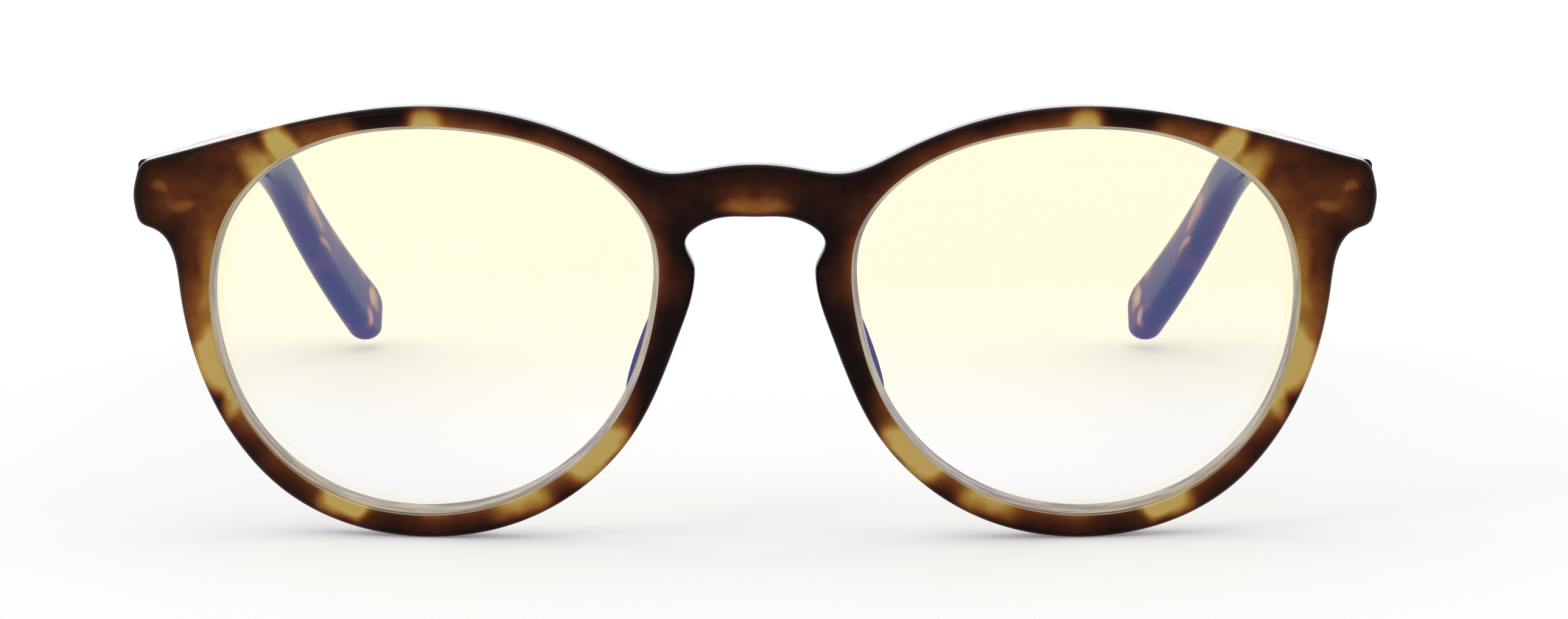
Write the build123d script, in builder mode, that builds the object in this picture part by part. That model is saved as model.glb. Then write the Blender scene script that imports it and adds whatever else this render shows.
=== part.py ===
"""Round full-rim glasses with an acetate front, five-knuckle hinges and wire-cored temples.

Millimetres, +Z up. The front faces -Y and the open temples run back along +Y.
The origin is under the middle of the glasses, on the surface that they stand on.
Left and right are the wearer's: the left side is +X.
"""

import math
import os

from build123d import *

os.makedirs("parts", exist_ok=True)

SIDES = {"left": 1, "right": -1}

# Front: one acetate sheet, milled to its outline and bent round an upright axis
FRONT_Y = -73.4
SHEET = 4.4
WRAP_RADIUS = 300.0
WRAP_CENTRE_Y = FRONT_Y + WRAP_RADIUS
FRONT_HEIGHT = 48.0
END_X = 69.0
END_CORNER = 1.3
END_BLOCK_X = 59.5
END_BLOCK_TAPER = 3.5
END_BLOCK_BOTTOM = 33.2
END_BLOCK_TOP = 43.0
END_BACK_Y = FRONT_Y + 13.4

# Lens openings
EYE_X = 35.5
EYE_Z = 24.1
EYE_OUTLINE = [
    (24.95, 4.5), (22.4, 12.5), (15.0, 18.85), (3.2, 21.6), (-7.7, 20.9), (-18.8, 16.6),
    (-24.3, 9.9), (-24.5, 1.2), (-20.2, -10.6), (-11.1, -18.7), (0.2, -21.6),
    (11.6, -19.5), (20.7, -11.8), (24.1, -4.1),
]  # fmt: skip

# Lenses, held by a V edge that snaps into a groove round each opening
LENS_GROWTH = 1.03
LENS_SETBACK = 1.0
LENS_THICKNESS = 2.2
BEVEL_FRONT = (0.7, 0.7)
BEVEL_REAR = (1.35, 1.3)
LENS_CENTRE_Z = 25.3

# Nose pads, bonded behind the inner sides of the rims
PAD_X = 11.0
PAD_Z = 21.2
PAD_LEAN = 20.0
PAD_BASE = (7.6, 1.95)
PAD_BASE_Y = FRONT_Y + 3.9
PAD_TIP = (5.6, 1.1)
PAD_TIP_Y = FRONT_Y + 10.8
PAD_TIP_SHIFT = 0.9
PAD_ROUND = 0.7

# Hinges, each with five knuckles on an upright screw
HINGE_X = 63.1
HINGE_Y = END_BACK_Y + 1.9
HINGE_Z = 37.65
KNUCKLE_RADIUS = 1.6
KNUCKLE_HEIGHT = 1.1
KNUCKLE_GAP = 0.1
KNUCKLE_PITCH = KNUCKLE_HEIGHT + KNUCKLE_GAP
LEAF_HEIGHT = 5 * KNUCKLE_HEIGHT + 4 * KNUCKLE_GAP
FRONT_LEAF_WIDTH = 4.6
FRONT_LEAF_DEPTH = 0.9
BARB_WIDTH = 2.8
BARB_STEM = 1.6
BARB_DEPTHS = (1.3, 2.3)
BARB_THICKNESS = 0.5
ANCHOR_HEIGHT = 4.4
SCREW_RADIUS = 0.7
SCREW_CLEARANCE = 0.04
SCREW_HEAD_RADIUS = 1.15
SCREW_HEAD_HEIGHT = 0.55
SCREW_SLOT = (0.35, 0.3)

# Temples: flat arms that slope down, drop behind the ear and close in on the head
TEMPLE_START_Y = END_BACK_Y + 0.1
TEMPLE_START_Z = 37.5
TEMPLE_X = 67.0
TEMPLE_SLOPE = math.radians(3.5)
STRAIGHT_LENGTH = 82.6
EAR_RADIUS = 42.0
EAR_DROP = math.radians(33.5)
TEMPLE_LENGTH = 142.0
OUTWARD_BOW = 1.8
INWARD_CURVE = 15.6
TEMPLE_HALF_HEIGHTS = {0: 3.45, 25: 3.15, 55: 3.0, 85: 3.05, 110: 3.3, 138.8: 4.5}
TEMPLE_HALF_THICKNESS = 2.0
TEMPLE_TIP_HALF_THICKNESS = 1.95

# Temple leaf of the hinge, let into the inner face of the temple
TEMPLE_LEAF_X = 64.9
TEMPLE_LEAF_THICKNESS = 1.0
TEMPLE_LEAF_START_Y = END_BACK_Y + 0.3
TEMPLE_LEAF_LENGTH = 9.0

# Wire core shot into the middle of each temple
CORE_START = 13.0
CORE_END = 130.0
CORE_HALF_HEIGHT = 0.8
CORE_HALF_THICKNESS = 0.6


def wall_plane(y):
    """An upright plane that faces the front, with sketch x along X and sketch y along Z."""
    return Plane.XZ.offset(-y)


def eye_points(side, growth=1.0):
    """The outline of a lens opening, or of the lens that fits it when growth is above 1."""
    return [(side * (EYE_X + growth * x), EYE_Z + growth * z) for x, z in EYE_OUTLINE]


# The bent sheet that the front is cut from, with a thicker block at each end for the hinge
reach = math.degrees(math.asin(END_X / (WRAP_RADIUS - SHEET))) + 0.5
with BuildPart() as bent_sheet:
    with BuildSketch(Plane.XY):
        with BuildLine():
            outer = CenterArc((0, WRAP_CENTRE_Y), WRAP_RADIUS, -90 - reach, 2 * reach)
            inner = CenterArc((0, WRAP_CENTRE_Y), WRAP_RADIUS - SHEET, -90 - reach, 2 * reach)
            Line(outer @ 0, inner @ 0)
            Line(outer @ 1, inner @ 1)
        make_face()
    extrude(amount=FRONT_HEIGHT)
    with BuildSketch(Plane.XY.offset(END_BLOCK_BOTTOM)):
        with BuildLine():
            Polyline(
                (END_BLOCK_X - END_BLOCK_TAPER, END_BACK_Y - END_BLOCK_TAPER),
                (END_BLOCK_X, END_BACK_Y),
                (END_X + 1, END_BACK_Y),
                (END_X + 1, END_BACK_Y - END_BLOCK_TAPER),
                close=True,
            )
        make_face()
        mirror(about=Plane.YZ)
    extrude(amount=END_BLOCK_TOP - END_BLOCK_BOTTOM)


# Lenses: shells with a V-shaped edge, flat enough to follow the bend of the front
lenses = {}
for name, side in SIDES.items():
    with BuildPart() as lens:
        with BuildSketch(wall_plane(FRONT_Y)):
            with BuildLine():
                Spline(eye_points(side, LENS_GROWTH), periodic=True)
            make_face()
        extrude(amount=-4 * SHEET)
        with Locations((0, WRAP_CENTRE_Y, LENS_CENTRE_Z)):
            Sphere(WRAP_RADIUS - LENS_SETBACK, mode=Mode.INTERSECT)
            Sphere(WRAP_RADIUS - LENS_SETBACK - LENS_THICKNESS, mode=Mode.SUBTRACT)
        for which, (inset, depth) in ((0, BEVEL_FRONT), (-1, BEVEL_REAR)):
            face = lens.faces().filter_by(GeomType.SPHERE).sort_by(Axis.Y)[which]
            chamfer(face.edges(), inset, depth, reference=face)
    lens.part.label = f"lens_{name}"
    lenses[name] = lens


# Hinge leaves in the front: a plate with a barbed anchor, and the first, third and fifth knuckles
front_leaves = {}
for name, side in SIDES.items():
    axis_x = side * HINGE_X
    with BuildPart() as leaf:
        with Locations((axis_x, END_BACK_Y - FRONT_LEAF_DEPTH / 2, HINGE_Z)):
            Box(FRONT_LEAF_WIDTH, FRONT_LEAF_DEPTH, LEAF_HEIGHT)
        anchor_depth = BARB_DEPTHS[-1] + BARB_THICKNESS
        with Locations((axis_x, END_BACK_Y - anchor_depth / 2, HINGE_Z)):
            Box(BARB_STEM, anchor_depth, ANCHOR_HEIGHT)
        for depth in BARB_DEPTHS:
            with Locations((axis_x, END_BACK_Y - depth - BARB_THICKNESS / 2, HINGE_Z)):
                Box(BARB_WIDTH, BARB_THICKNESS, ANCHOR_HEIGHT)
        for level in (-2, 0, 2):
            z = HINGE_Z + level * KNUCKLE_PITCH
            with Locations((axis_x, HINGE_Y, z)):
                Cylinder(KNUCKLE_RADIUS, KNUCKLE_HEIGHT)
            with Locations((axis_x, (END_BACK_Y + HINGE_Y) / 2, z)):
                Box(2 * KNUCKLE_RADIUS, HINGE_Y - END_BACK_Y, KNUCKLE_HEIGHT)
        with Locations((axis_x, HINGE_Y, HINGE_Z)):
            Cylinder(SCREW_RADIUS, LEAF_HEIGHT, mode=Mode.SUBTRACT)
        with Locations((axis_x, HINGE_Y, HINGE_Z + LEAF_HEIGHT / 2 - SCREW_HEAD_HEIGHT / 2)):
            Cylinder(SCREW_HEAD_RADIUS, SCREW_HEAD_HEIGHT, mode=Mode.SUBTRACT)
    leaf.part.label = f"hinge_front_leaf_{name}"
    front_leaves[name] = leaf


# Front: the outline cut from the bent sheet, grooved for the lenses and pocketed for the leaves
with BuildPart() as front_frame:
    with BuildSketch(wall_plane(FRONT_Y - 1)) as outline:
        with BuildLine():
            brow = Spline(
                (-55, 44.85), (-46.8, 46.8), (-36.5, 47.95), (-24, 46.3), (-16, 43.15),
                (-10, 40.8), (-4, 41.45), (4, 41.45), (10, 40.8),
                (16, 43.15), (24, 46.3), (36.5, 47.95), (46.8, 46.8), (55, 44.85),
                tangents=((1, 0.28), (1, -0.28)),
            )  # fmt: skip
            end_top = Line(brow @ 1, (68.35, 41.1))
            end_face = ThreePointArc(end_top @ 1, (END_X, 37.4), (68.5, 34.2))
            end_under = Spline(
                end_face @ 1, (66.2, 33.45), (63.9, 27), tangents=((-1, -0.2), (-0.12, -1))
            )
            rim = Spline(
                end_under @ 1, (60.5, 15.05), (52.1, 4.6), (36, 0), (23.1, 3.2),
                (13.2, 12.2), (8.4, 22.9), (6.6, 30), tangents=((-0.12, -1), (0, 1)),
            )  # fmt: skip
            keyhole = Spline(rim @ 1, (7.68, 33.1), (5, 35.55), (0, 36), tangents=((0, 1), (-1, 0)))
            for curve in (end_top, end_face, end_under, rim, keyhole):
                mirror(curve, about=Plane.YZ)
        make_face()
        fillet([v for v in outline.vertices() if abs(v.X) > END_X - 1], END_CORNER)
        for side in SIDES.values():
            with BuildLine():
                Spline(eye_points(side), periodic=True)
            make_face(mode=Mode.SUBTRACT)
    extrude(amount=-(END_BACK_Y - FRONT_Y + 2))
    add(bent_sheet.part, mode=Mode.INTERSECT)
    for name in SIDES:
        add(lenses[name].part, mode=Mode.SUBTRACT)
        add(front_leaves[name].part, mode=Mode.SUBTRACT)
front_frame.part.label = "front_frame"
export_step(front_frame.part, "parts/front_frame.step")

for name in SIDES:
    export_step(lenses[name].part, f"parts/lens_{name}.step")
    export_step(front_leaves[name].part, f"parts/hinge_front_leaf_{name}.step")


# Nose pads: leaning, round-ended blocks that narrow towards the back
for name, side in SIDES.items():
    with BuildPart() as pad:
        for y, (half_length, half_width), shift in (
            (PAD_BASE_Y, PAD_BASE, 0),
            (PAD_TIP_Y, PAD_TIP, PAD_TIP_SHIFT),
        ):
            with BuildSketch(wall_plane(y)):
                with Locations((side * (PAD_X + shift), PAD_Z)):
                    SlotOverall(2 * half_length, 2 * half_width, rotation=90 + side * PAD_LEAN)
        loft()
        fillet(pad.faces().sort_by(Axis.Y)[-1].edges(), PAD_ROUND)
        add(front_frame.part, mode=Mode.SUBTRACT)
    pad.part.label = f"nose_pad_{name}"
    export_step(pad.part, f"parts/nose_pad_{name}.step")


# Hinge screws: a slotted head in the top knuckle, and a shank down to the foot of the hinge
for name, side in SIDES.items():
    with BuildPart() as screw:
        with Locations((side * HINGE_X, HINGE_Y, HINGE_Z)):
            Cylinder(SCREW_RADIUS, LEAF_HEIGHT)
        head_z = HINGE_Z + LEAF_HEIGHT / 2 - SCREW_HEAD_HEIGHT / 2
        with Locations((side * HINGE_X, HINGE_Y, head_z)):
            Cylinder(SCREW_HEAD_RADIUS, SCREW_HEAD_HEIGHT)
        slot_width, slot_depth = SCREW_SLOT
        with Locations((side * HINGE_X, HINGE_Y, HINGE_Z + LEAF_HEIGHT / 2 - slot_depth / 2)):
            Box(3 * SCREW_HEAD_RADIUS, slot_width, slot_depth, mode=Mode.SUBTRACT)
    screw.part.label = f"hinge_screw_{name}"
    export_step(screw.part, f"parts/hinge_screw_{name}.step")


def spine(s):
    """Y, Z and downward angle of the temple's middle line, s along it from the front end."""
    if s <= STRAIGHT_LENGTH:
        return (
            TEMPLE_START_Y + s * math.cos(TEMPLE_SLOPE),
            TEMPLE_START_Z - s * math.sin(TEMPLE_SLOPE),
            TEMPLE_SLOPE,
        )
    y, z, start = spine(STRAIGHT_LENGTH)
    turn = min((s - STRAIGHT_LENGTH) / EAR_RADIUS, EAR_DROP)
    angle = start + turn
    y += EAR_RADIUS * (math.sin(angle) - math.sin(start))
    z -= EAR_RADIUS * (math.cos(start) - math.cos(angle))
    rest = s - STRAIGHT_LENGTH - turn * EAR_RADIUS
    return y + rest * math.cos(angle), z - rest * math.sin(angle), angle


def spine_x(s):
    """How far out the temple's middle line stands, s along it from the front end."""
    f = s / TEMPLE_LENGTH
    return TEMPLE_X + OUTWARD_BOW * f - INWARD_CURVE * f**3


def edge_points(half_heights, up):
    """Points on the upper (up = 1) or lower (up = -1) edge of the side view."""
    points = []
    for s, half in half_heights.items():
        y, z, angle = spine(s)
        points.append((y + up * half * math.sin(angle), z + up * half * math.cos(angle)))
    return points


def plan_points(side, stations, out, half_thicknesses):
    """Points on the outer (out = 1) or inner (out = -1) face of the view from above."""
    return [
        (side * (spine_x(s) + out * half), spine(s)[0])
        for s, half in zip(stations, half_thicknesses)
    ]


# Temples and what is in them
for name, side in SIDES.items():
    core_stations = [CORE_START, 40, 70, 85, 98, 112, CORE_END]
    core_heights = {s: CORE_HALF_HEIGHT for s in core_stations}
    core_halves = [CORE_HALF_THICKNESS] * len(core_stations)
    with BuildPart() as core:
        with BuildSketch(Plane.YZ):
            with BuildLine():
                top = Spline(edge_points(core_heights, 1))
                bottom = Spline(edge_points(core_heights, -1))
                Line(top @ 0, bottom @ 0)
                Line(top @ 1, bottom @ 1)
            make_face()
        extrude(amount=side * (TEMPLE_X + 10))
        with BuildSketch(Plane.XY):
            with BuildLine():
                outside = Spline(plan_points(side, core_stations, 1, core_halves))
                inside = Spline(plan_points(side, core_stations, -1, core_halves))
                Line(outside @ 0, inside @ 0)
                Line(outside @ 1, inside @ 1)
            make_face()
        extrude(amount=FRONT_HEIGHT, mode=Mode.INTERSECT)
    core.part.label = f"temple_core_{name}"
    export_step(core.part, f"parts/temple_core_{name}.step")

    with BuildPart() as leaf:
        plate_x = side * (TEMPLE_LEAF_X + TEMPLE_LEAF_THICKNESS / 2)
        with Locations((plate_x, TEMPLE_LEAF_START_Y + TEMPLE_LEAF_LENGTH / 2, HINGE_Z)):
            Box(TEMPLE_LEAF_THICKNESS, TEMPLE_LEAF_LENGTH, LEAF_HEIGHT)
        for level in (-1, 1):
            z = HINGE_Z + level * KNUCKLE_PITCH
            with Locations((side * HINGE_X, HINGE_Y, z)):
                Cylinder(KNUCKLE_RADIUS, KNUCKLE_HEIGHT)
            with Locations((side * (HINGE_X + TEMPLE_LEAF_X) / 2, HINGE_Y, z)):
                Box(TEMPLE_LEAF_X - HINGE_X, 2 * KNUCKLE_RADIUS, KNUCKLE_HEIGHT)
        with Locations((side * HINGE_X, HINGE_Y, HINGE_Z)):
            Cylinder(SCREW_RADIUS + SCREW_CLEARANCE, LEAF_HEIGHT, mode=Mode.SUBTRACT)
    leaf.part.label = f"hinge_temple_leaf_{name}"
    export_step(leaf.part, f"parts/hinge_temple_leaf_{name}.step")

    stations = list(TEMPLE_HALF_HEIGHTS) + [TEMPLE_LENGTH + 1.5]
    tip_half = TEMPLE_TIP_HALF_THICKNESS
    halves = [TEMPLE_HALF_THICKNESS] * (len(stations) - 2) + [tip_half, tip_half]
    with BuildPart() as temple:
        with BuildSketch(Plane.YZ):
            with BuildLine():
                top = Spline(edge_points(TEMPLE_HALF_HEIGHTS, 1))
                bottom = Spline(edge_points(TEMPLE_HALF_HEIGHTS, -1))
                Line(top @ 0, bottom @ 0)
                ThreePointArc(top @ 1, spine(TEMPLE_LENGTH)[:2], bottom @ 1)
            make_face()
        extrude(amount=side * (TEMPLE_X + 10))
        with BuildSketch(Plane.XY):
            with BuildLine():
                outside = Spline(plan_points(side, stations, 1, halves))
                inside = Spline(plan_points(side, stations, -1, halves))
                Line(outside @ 0, inside @ 0)
                Line(outside @ 1, inside @ 1)
            make_face()
        extrude(amount=FRONT_HEIGHT, mode=Mode.INTERSECT)
        add(core.part, mode=Mode.SUBTRACT)
        add(leaf.part, mode=Mode.SUBTRACT)
    temple.part.label = f"temple_{name}"
    export_step(temple.part, f"parts/temple_{name}.step")
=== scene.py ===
import math

import bmesh
import bpy
import numpy as np
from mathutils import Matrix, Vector, geometry


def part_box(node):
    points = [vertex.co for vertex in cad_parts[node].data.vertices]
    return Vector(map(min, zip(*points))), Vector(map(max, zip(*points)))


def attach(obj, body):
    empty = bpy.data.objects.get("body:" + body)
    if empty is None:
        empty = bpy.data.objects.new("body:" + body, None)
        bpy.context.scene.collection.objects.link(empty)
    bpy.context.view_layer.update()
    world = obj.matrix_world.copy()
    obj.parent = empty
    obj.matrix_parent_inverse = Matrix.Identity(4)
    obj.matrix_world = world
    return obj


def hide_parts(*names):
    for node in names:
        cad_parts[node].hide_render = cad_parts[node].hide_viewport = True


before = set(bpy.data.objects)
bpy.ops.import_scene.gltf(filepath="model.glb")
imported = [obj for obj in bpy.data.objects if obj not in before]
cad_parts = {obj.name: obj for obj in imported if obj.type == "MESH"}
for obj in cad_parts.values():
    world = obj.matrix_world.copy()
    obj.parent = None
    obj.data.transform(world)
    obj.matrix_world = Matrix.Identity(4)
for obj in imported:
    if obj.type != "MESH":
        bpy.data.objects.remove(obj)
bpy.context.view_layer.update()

MM = 0.001
SIDES = {"left": 1, "right": -1}

# Camera: a long lens in front of the glasses, a little above them, aimed at the height of the
# lens centres. The small shift frames the glasses left of the middle.
FRONT_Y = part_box("front_frame")[0].y / MM
AIM_Z = 25.3
CAMERA_DISTANCE = 550.0
CAMERA_RISE = math.radians(8.25)
SENSOR_WIDTH = 36.0
FRAME_WIDTH_AT_AIM = 171.73

camera_data = bpy.data.cameras.new("camera")
camera_data.sensor_width = SENSOR_WIDTH
camera_data.lens = SENSOR_WIDTH * CAMERA_DISTANCE / FRAME_WIDTH_AT_AIM
camera_data.shift_x = 0.0184
camera_data.shift_y = 0.0036
camera_data.clip_start = 0.01
camera = bpy.data.objects.new("camera", camera_data)
camera.location = Vector((
    0,
    FRONT_Y - CAMERA_DISTANCE * math.cos(CAMERA_RISE),
    AIM_Z + CAMERA_DISTANCE * math.sin(CAMERA_RISE),
)) * MM
camera.rotation_euler = (math.pi / 2 - CAMERA_RISE, 0, 0)
bpy.context.scene.collection.objects.link(camera)
bpy.context.scene.camera = camera


# Front frame: one sheet of acetate, milled to its outline, bent to the curve of the face and
# tumbled until its edges are round. A V groove inside each opening holds the lens, and a block
# at each end carries the hinge.
SHEET = 4.4
WRAP_RADIUS = 300.0
END_BACK = 13.4
EYE_X = 35.5
EYE_Z = 24.1
EYE_OUTLINE = [
    (24.95, 4.5), (22.4, 12.5), (15.0, 18.85), (3.2, 21.6), (-7.7, 20.9), (-18.8, 16.6),
    (-24.3, 9.9), (-24.5, 1.2), (-20.2, -10.6), (-11.1, -18.7), (0.2, -21.6),
    (11.6, -19.5), (20.7, -11.8), (24.1, -4.1),
]
BROW = [
    (-55, 44.85), (-46.8, 46.8), (-36.5, 47.95), (-24, 46.3), (-16, 43.15), (-10, 40.8),
    (-4, 41.45), (4, 41.45), (10, 40.8), (16, 43.15), (24, 46.3), (36.5, 47.95),
    (46.8, 46.8), (55, 44.85),
]
END_TOP_CORNER = (68.35, 41.1)
END_FOOT_CORNER = (68.5, 34.2)
END_BULGE = (69.0, 37.4)
UNDER_END = [(67.3, 33.93), (66.2, 33.45), (63.9, 27)]
RIM = [
    (63.9, 27), (60.5, 15.05), (52.1, 4.6), (36, 0.0), (23.1, 3.2), (13.2, 12.2),
    (8.4, 22.9), (6.6, 30),
]
KEYHOLE = [(6.6, 30), (7.68, 33.1), (5, 35.55), (0, 36)]
OUTER_ROUND = 0.95
EYE_ROUND = 0.4
CROWN = 0.16
CROWN_WIDTH = 2.4
LENS_SETBACK = 1.0
LENS_THICKNESS = 2.2
GROOVE = 0.7
SPHERE_Z = 25.3


def smooth_through(points, closed=False, ends=None, step=0.35):
    """Points along the smooth curve through the given points, about one step apart."""
    p = np.array(points, float)
    if closed:
        p = np.vstack([p, p[:1]])
    n = len(p)
    h = np.hypot(*np.diff(p, axis=0).T)
    rows = np.zeros((n, n))
    right = np.zeros((n, 2))
    for i in range(1, n - 1):
        rows[i, i - 1 : i + 2] = h[i], 2 * (h[i - 1] + h[i]), h[i - 1]
        right[i] = 3 * (h[i] * (p[i] - p[i - 1]) / h[i - 1] + h[i - 1] * (p[i + 1] - p[i]) / h[i])
    if closed:
        rows[0, [0, 1, n - 2]] = 2 * (h[-1] + h[0]), h[-1], h[0]
        right[0] = 3 * (h[0] * (p[0] - p[-2]) / h[-1] + h[-1] * (p[1] - p[0]) / h[0])
        rows[-1, [0, -1]] = 1, -1
    elif ends:
        rows[0, 0] = rows[-1, -1] = 1
        right[0] = np.array(ends[0]) / np.hypot(*ends[0])
        right[-1] = np.array(ends[1]) / np.hypot(*ends[1])
    else:
        rows[0, :2] = 2, 1
        right[0] = 3 * (p[1] - p[0]) / h[0]
        rows[-1, -2:] = 1, 2
        right[-1] = 3 * (p[-1] - p[-2]) / h[-1]
    slope = np.linalg.solve(rows, right)
    out = []
    for i in range(n - 1):
        t = np.linspace(0, 1, max(2, round(h[i] / step) + 1))[:-1, None]
        out.append(
            (2 * t**3 - 3 * t**2 + 1) * p[i]
            + (t**3 - 2 * t**2 + t) * h[i] * slope[i]
            + (3 * t**2 - 2 * t**3) * p[i + 1]
            + (t**3 - t**2) * h[i] * slope[i + 1]
        )
    return np.vstack(out) if closed else np.vstack(out + [p[-1:]])


def evenly(loop, step):
    """A closed loop's points, moved along it to be evenly spaced."""
    closed = np.vstack([loop, loop[:1]])
    along = np.r_[0, np.cumsum(np.hypot(*np.diff(closed, axis=0).T))]
    stops = np.linspace(0, along[-1], round(along[-1] / step) + 1)[:-1]
    return np.column_stack([np.interp(stops, along, closed[:, k]) for k in (0, 1)])


def side_normals(loop):
    """Unit normals of a closed loop, pointing to the left of its direction."""
    run = np.roll(loop, -1, 0) - np.roll(loop, 1, 0)
    run /= np.hypot(*run.T)[:, None]
    return np.column_stack([-run[:, 1], run[:, 0]])


def round_corner(before, corner, after, count=7):
    """A short curve from one point to another that keeps inside the corner between them."""
    a, b, c = (np.array(q, float) for q in (before, corner, after))
    t = np.linspace(0, 1, count)[:, None]
    return (1 - t) ** 2 * a + 2 * t * (1 - t) * b + t**2 * c


def towards(start, end, distance):
    """The point that lies so far from start on the way to end."""
    a, b = np.array(start, float), np.array(end, float)
    return a + (b - a) / np.hypot(*(b - a)) * distance


def front_outline(step):
    """The outer outline of the front, clockwise as the wearer's opposite number sees it."""
    brow = smooth_through(BROW, ends=((1, 0.28), (1, -0.28)))
    top_in = towards(END_TOP_CORNER, BROW[-1], 1.3)
    top_out = towards(END_TOP_CORNER, END_BULGE, 1.3)
    foot_in = towards(END_FOOT_CORNER, END_BULGE, 1.1)
    under = smooth_through(UNDER_END, ends=((-1, -0.25), (-0.12, -1)))
    right = np.vstack([
        round_corner(top_in, END_TOP_CORNER, top_out),
        smooth_through([top_out, END_BULGE, foot_in])[1:-1],
        round_corner(foot_in, END_FOOT_CORNER, UNDER_END[0]),
        under[1:-1],
        smooth_through(RIM, ends=((-0.12, -1), (0, 1))),
        smooth_through(KEYHOLE, ends=((0, 1), (-1, 0)))[1:],
    ])
    left = right[-2::-1] * (-1, 1)
    return evenly(np.vstack([brow, right, left]), step)


def eye_outline(side, step):
    """The outline of one lens opening, clockwise on both sides."""
    loop = smooth_through(EYE_OUTLINE, closed=True)[::-1]
    loop = evenly(loop + (EYE_X, EYE_Z), step)
    return loop if side > 0 else loop[::-1] * (-1, 1)


def is_inside(points, loop):
    """True for each point inside the closed loop."""
    x, z = points[:, :1], points[:, 1:]
    ax, az = loop[:, 0], loop[:, 1]
    bx, bz = np.roll(ax, -1), np.roll(az, -1)
    crosses = (az > z) != (bz > z)
    with np.errstate(divide="ignore", invalid="ignore"):
        at = ax + (z - az) / (bz - az) * (bx - ax)
    return (np.sum(crosses & (x < at), axis=1) % 2) == 1


def nearest(points, edge, chunk=2000):
    """How far each point is from the nearest point of the edge."""
    found = []
    for i in range(0, len(points), chunk):
        gap = points[i : i + chunk, None, :] - edge[None]
        found.append(np.sqrt((gap**2).sum(2).min(1)))
    return np.concatenate(found)


def sheet_y(x, depth=0.0):
    """How far back the bent sheet lies at x, at a depth behind its front face."""
    radius = WRAP_RADIUS - depth
    return FRONT_Y + WRAP_RADIUS - np.sqrt(radius**2 - x**2)


def lens_y(x, z, depth):
    """How far back a lens face lies, at a depth behind the front face of the sheet."""
    radius = WRAP_RADIUS - depth
    return FRONT_Y + WRAP_RADIUS - np.sqrt(radius**2 - x**2 - (z - SPHERE_Z) ** 2)


def smoothstep(low, high, value):
    t = np.clip((value - low) / (high - low), 0, 1)
    return t * t * (3 - 2 * t)


def back_y(x, z):
    """The back face of the front, thickened at the ends where the hinges are let in."""
    block = smoothstep(55.5, 60.0, np.abs(x)) * smoothstep(31.2, 34.0, z)
    plain = sheet_y(x, SHEET)
    return plain + block * (FRONT_Y + END_BACK - plain)


def piece(name, vertices, faces, materials, body, stands_for, marks=None):
    """Makes a mesh object from millimetres, and gives it its place in the frame.
    marks holds what the material reads at each point: a name, and one number or three."""
    mesh = bpy.data.meshes.new(name)
    mesh.from_pydata((np.asarray(vertices) * MM).tolist(), [], [list(map(int, f)) for f in faces])
    for material in materials:
        mesh.materials.append(material)
    tidy = bmesh.new()
    tidy.from_mesh(mesh)
    bmesh.ops.recalc_face_normals(tidy, faces=tidy.faces)
    tidy.to_mesh(mesh)
    tidy.free()
    for polygon in mesh.polygons:
        polygon.use_smooth = True
    for mark, values in (marks or {}).items():
        values = np.asarray(values, np.float32)
        if values.ndim == 2:
            mesh.attributes.new(mark, "FLOAT_VECTOR", "POINT").data.foreach_set("vector", values.ravel())
        else:
            mesh.attributes.new(mark, "FLOAT", "POINT").data.foreach_set("value", values)
    made = bpy.data.objects.new(name, mesh)
    bpy.context.scene.collection.objects.link(made)
    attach(made, body)
    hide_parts(stands_for)
    return made


class Skin:
    """Collects rows of points and the faces between them."""

    def __init__(self):
        self.points = []
        self.faces = []
        self.count = 0

    def row(self, points):
        self.points.append(np.asarray(points, float))
        first = self.count
        self.count += len(points)
        return np.arange(first, self.count)

    def strip(self, a, b):
        """Quads between two closed rows of the same length."""
        for i in range(len(a)):
            j = (i + 1) % len(a)
            self.faces.append((a[i], a[j], b[j], b[i]))

    def fan(self, row, centre):
        middle = self.row([centre])[0]
        for i in range(len(row)):
            self.faces.append((row[i], row[(i + 1) % len(row)], middle))

    def vertices(self):
        return np.vstack(self.points)


def face_core(inner_loops, spacing=1.0):
    """Flat triangles between the loops: the first is the outer one, the others are holes."""
    outer = inner_loops[0]
    xs = np.arange(-69, 69.1, spacing)
    zs = np.arange(0, 48.1, spacing)
    grid = np.array([(x + (0.5 * spacing if k % 2 else 0), z) for k, z in enumerate(zs) for x in xs])
    keep = is_inside(grid, outer)
    for hole in inner_loops[1:]:
        keep &= ~is_inside(grid, hole)
    grid = grid[keep]
    grid = grid[nearest(grid, np.vstack(inner_loops)) > 0.45 * spacing]
    edges = []
    start = 0
    for loop in inner_loops:
        n = len(loop)
        edges += [(start + i, start + (i + 1) % n) for i in range(n)]
        start += n
    points = np.vstack(inner_loops + [grid])
    flat = [Vector(p) for p in points.tolist()]
    verts, _, faces, kept_from, _, _ = geometry.delaunay_2d_cdt(flat, edges, [], 0, 1e-5)
    out = np.array([v[:] for v in verts])
    faces = np.array([f for f in faces if len(f) == 3])
    middle = out[faces].mean(1)
    inside = is_inside(middle, outer)
    for hole in inner_loops[1:]:
        inside &= ~is_inside(middle, hole)
    return out, faces[inside], kept_from


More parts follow.
